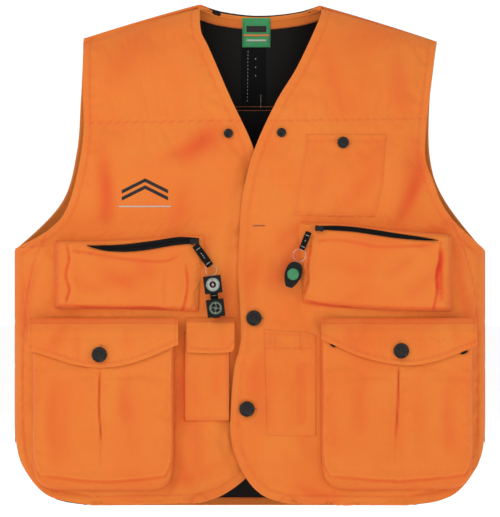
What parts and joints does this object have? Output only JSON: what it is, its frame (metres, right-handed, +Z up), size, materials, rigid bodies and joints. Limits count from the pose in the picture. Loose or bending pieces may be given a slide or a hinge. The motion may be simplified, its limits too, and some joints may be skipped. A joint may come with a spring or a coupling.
{
  "type": "hunting vest",
  "caption": "Sleeveless blaze orange field vest with a V neck, buttoned front, zip and cargo pockets, black lining, and a compass and light on the zip pulls.",
  "frame": {"origin": "top of the shoulders, where the vest hangs on its wearer", "axes": "+Z up, the front faces -Y, +X towards the wearer's left"},
  "size_m": [0.618, 0.132, 0.6563],
  "materials": {
    "orange_shell": "matte brushed twill, blaze orange",
    "black_lining": "smooth satin-like lining",
    "black_webbing": "woven webbing",
    "green_label": "woven label",
    "horn_button": "polished dark brown",
    "black_metal": "semi-gloss black",
    "steel": "bright spring steel",
    "zip_coil": "nylon coil",
    "black_plastic": "moulded black",
    "green_plastic": "satin green",
    "dial_white": "printed dial",
    "needle_red": "painted pointer",
    "clear_lens": "clear acrylic"
  },
  "bodies": {
    "vest_back": {"back_shell": "orange_shell", "back_lining": "black_lining", "neck_facing": "orange_shell", "neck_label": "green_label", "game_pouch": "orange_shell", "right_front_upper": "orange_shell", "right_front_upper_lining": "black_lining", "left_front_upper": "orange_shell", "left_front_upper_lining": "black_lining", "chest_pocket": "orange_shell", "right_neck_snap": "black_metal", "left_neck_snap": "black_metal", "chest_pocket_snap": "black_metal"},
    "left_front": {"left_front_shell": "orange_shell", "left_front_lining": "black_lining", "left_zip_pocket": "orange_shell", "left_zip_tape": "black_webbing", "left_zip_chain": "zip_coil", "left_cargo_pocket": "orange_shell", "left_cargo_button": "horn_button", "hand_pocket": "orange_shell"},
    "right_front": {"right_front_shell": "orange_shell", "right_front_lining": "black_lining", "right_placket": "orange_shell", "front_button_top": "horn_button", "front_button_middle": "horn_button", "front_button_lower": "horn_button", "right_zip_pocket": "orange_shell", "right_zip_tape": "black_webbing", "right_zip_chain": "zip_coil", "right_cargo_pocket": "orange_shell", "right_cargo_button": "horn_button", "accessory_pocket": "orange_shell"},
    "right_slider": {"right_zip_slider": "black_metal"},
    "right_tab": {"right_pull_tab": "black_webbing"},
    "gauge_hanger": {"split_ring": "steel", "gauge_strap": "black_webbing", "thermometer_case": "black_plastic", "thermometer_dial": "dial_white", "thermometer_lens": "clear_lens", "compass_case": "black_plastic", "compass_lens": "clear_lens"},
    "thermometer_pointer": {"thermometer_needle": "needle_red"},
    "compass_rotor": {"compass_card": "black_plastic"},
    "left_slider": {"left_zip_slider": "black_metal"},
    "left_tab": {"left_pull_tab": "black_webbing"},
    "micro_light": {"light_ring": "steel", "light_back": "black_plastic", "light_front": "black_plastic", "light_bulb": "clear_lens", "light_cell_1": "steel", "light_cell_2": "steel"},
    "light_switch": {"light_button": "green_plastic"},
    "right_flap": {"right_cargo_flap": "orange_shell"},
    "left_flap": {"left_cargo_flap": "orange_shell"},
    "small_flap": {"accessory_flap": "orange_shell"}
  },
  "joints": [
    {"name": "left_front_open", "type": "hinge", "parent": "vest_back", "child": "left_front", "pos_m": [0.307, 0, -0.45], "axis": [0, 0, 1], "range_deg": [0, 45]},
    {"name": "right_front_open", "type": "hinge", "parent": "vest_back", "child": "right_front", "pos_m": [-0.311, 0, -0.45], "axis": [0, 0, -1], "range_deg": [0, 18]},
    {"name": "right_zip_slide", "type": "slide", "parent": "right_front", "child": "right_slider", "axis": [-0.9993, 0, -0.0382], "range_m": [0, 0.13]},
    {"name": "right_tab_lift", "type": "hinge", "parent": "right_slider", "child": "right_tab", "pos_m": [-0.073, -0.07365, -0.3125], "axis": [-1, 0, 0], "range_deg": [0, 90]},
    {"name": "gauge_lift", "type": "hinge", "parent": "right_tab", "child": "gauge_hanger", "pos_m": [-0.05319, -0.07365, -0.33699], "axis": [-1, 0, 0], "range_deg": [0, 80]},
    {"name": "thermometer_needle_turn", "type": "hinge", "parent": "gauge_hanger", "child": "thermometer_pointer", "pos_m": [-0.05002, -0.0794, -0.3633], "axis": [0, -1, 0], "range_deg": [-120, 120]},
    {"name": "compass_turn", "type": "hinge", "parent": "gauge_hanger", "child": "compass_rotor", "pos_m": [-0.04637, -0.0798, -0.39358], "axis": [0, -1, 0], "continuous": true},
    {"name": "left_zip_slide", "type": "slide", "parent": "left_front", "child": "left_slider", "axis": [0.995, 0, -0.1], "range_m": [0, 0.145]},
    {"name": "left_tab_lift", "type": "hinge", "parent": "left_slider", "child": "left_tab", "pos_m": [0.0743, -0.07365, -0.2954], "axis": [-1, 0, 0], "range_deg": [0, 90]},
    {"name": "light_lift", "type": "hinge", "parent": "left_tab", "child": "micro_light", "pos_m": [0.06468, -0.07365, -0.31695], "axis": [-1, 0, 0], "range_deg": [0, 80]},
    {"name": "light_button_press", "type": "slide", "parent": "micro_light", "child": "light_switch", "axis": [0, 1, 0], "range_m": [0, 0.0008], "stiffness_N_per_m": 600, "springref_m": -0.0005},
    {"name": "right_cargo_flap_lift", "type": "hinge", "parent": "right_front", "child": "right_flap", "pos_m": [-0.19195, -0.05849, -0.408], "axis": [-0.9967, 0.0817, 0], "range_deg": [0, 88]},
    {"name": "left_cargo_flap_lift", "type": "hinge", "parent": "left_front", "child": "left_flap", "pos_m": [0.19145, -0.0582, -0.408], "axis": [-0.9967, -0.0817, 0], "range_deg": [0, 85]},
    {"name": "accessory_flap_lift", "type": "hinge", "parent": "right_front", "child": "small_flap", "pos_m": [-0.053, -0.0654, -0.407], "axis": [-1, 0, 0], "range_deg": [0, 65]}
  ],
  "couplings": [
    {"joint": "right_front_open", "follows": "left_front_open", "ratio": 0.4}
  ]
}
